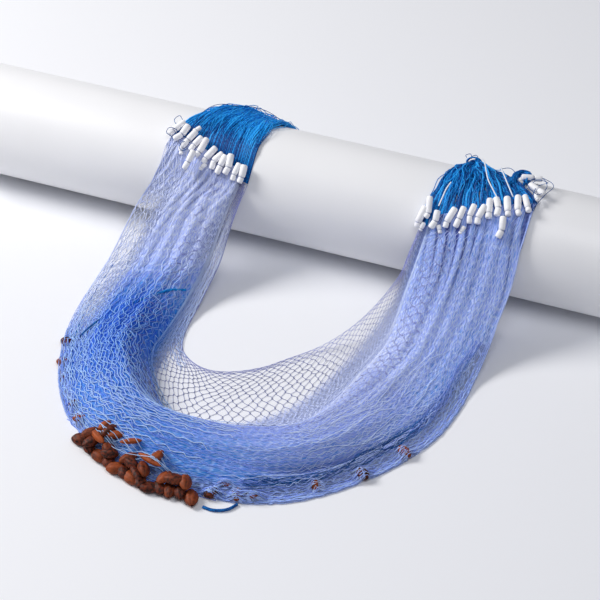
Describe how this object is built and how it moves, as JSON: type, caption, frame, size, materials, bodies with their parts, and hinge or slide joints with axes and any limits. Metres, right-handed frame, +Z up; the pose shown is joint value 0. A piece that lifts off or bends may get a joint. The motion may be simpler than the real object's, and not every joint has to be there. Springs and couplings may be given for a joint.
{
  "type": "gill net hung over a tube",
  "caption": "Gathered gill net with floats on its head rope and clay sinkers on its foot rope, hung in a U over a plain round tube with its middle lying on the floor.",
  "frame": {"origin": "on the floor, at the middle of the flat that the tube rests on", "axes": "+X along the tube, -Y the way the net falls and lies, +Z up"},
  "size_m": [1, 0.6595, 0.1751],
  "materials": {
    "tube": "smooth satin white plastic",
    "webbing": "fine knotted nylon twine, periwinkle to azure",
    "rope": "twisted azure cord",
    "float": "white closed-cell foam",
    "clay": "unglazed fired clay"
  },
  "bodies": {
    "root": {"tube": "tube", "webbing": "webbing", "head_rope_left": "rope", "head_rope_right": "rope", "foot_rope_left": "rope", "foot_rope_right": "rope", "tie_cord": "rope", "rope_tail": "rope", "float_left_1": "float", "float_left_2": "float", "float_left_3": "float", "float_left_4": "float", "float_left_5": "float", "float_left_6": "float", "float_left_7": "float", "float_left_8": "float", "float_left_9": "float", "float_left_10": "float", "float_left_11": "float", "float_left_12": "float", "float_right_1": "float", "float_right_2": "float", "float_right_3": "float", "float_right_4": "float", "float_right_5": "float", "float_right_6": "float", "float_right_7": "float", "float_right_8": "float", "float_right_9": "float", "float_right_10": "float", "float_right_11": "float", "float_right_12": "float", "float_right_13": "float", "float_right_14": "float", "float_right_15": "float", "sinker_1": "clay", "sinker_2": "clay", "sinker_3": "clay", "sinker_4": "clay", "sinker_5": "clay", "sinker_6": "clay", "sinker_7": "clay", "sinker_8": "clay", "sinker_9": "clay", "sinker_10": "clay", "sinker_11": "clay", "sinker_12": "clay", "sinker_13": "clay", "sinker_14": "clay", "sinker_15": "clay", "sinker_16": "clay", "sinker_17": "clay", "sinker_18": "clay", "sinker_19": "clay", "sinker_20": "clay", "sinker_21": "clay", "sinker_22": "clay", "sinker_23": "clay", "sinker_24": "clay", "sinker_25": "clay"}
  },
  "joints": []
}
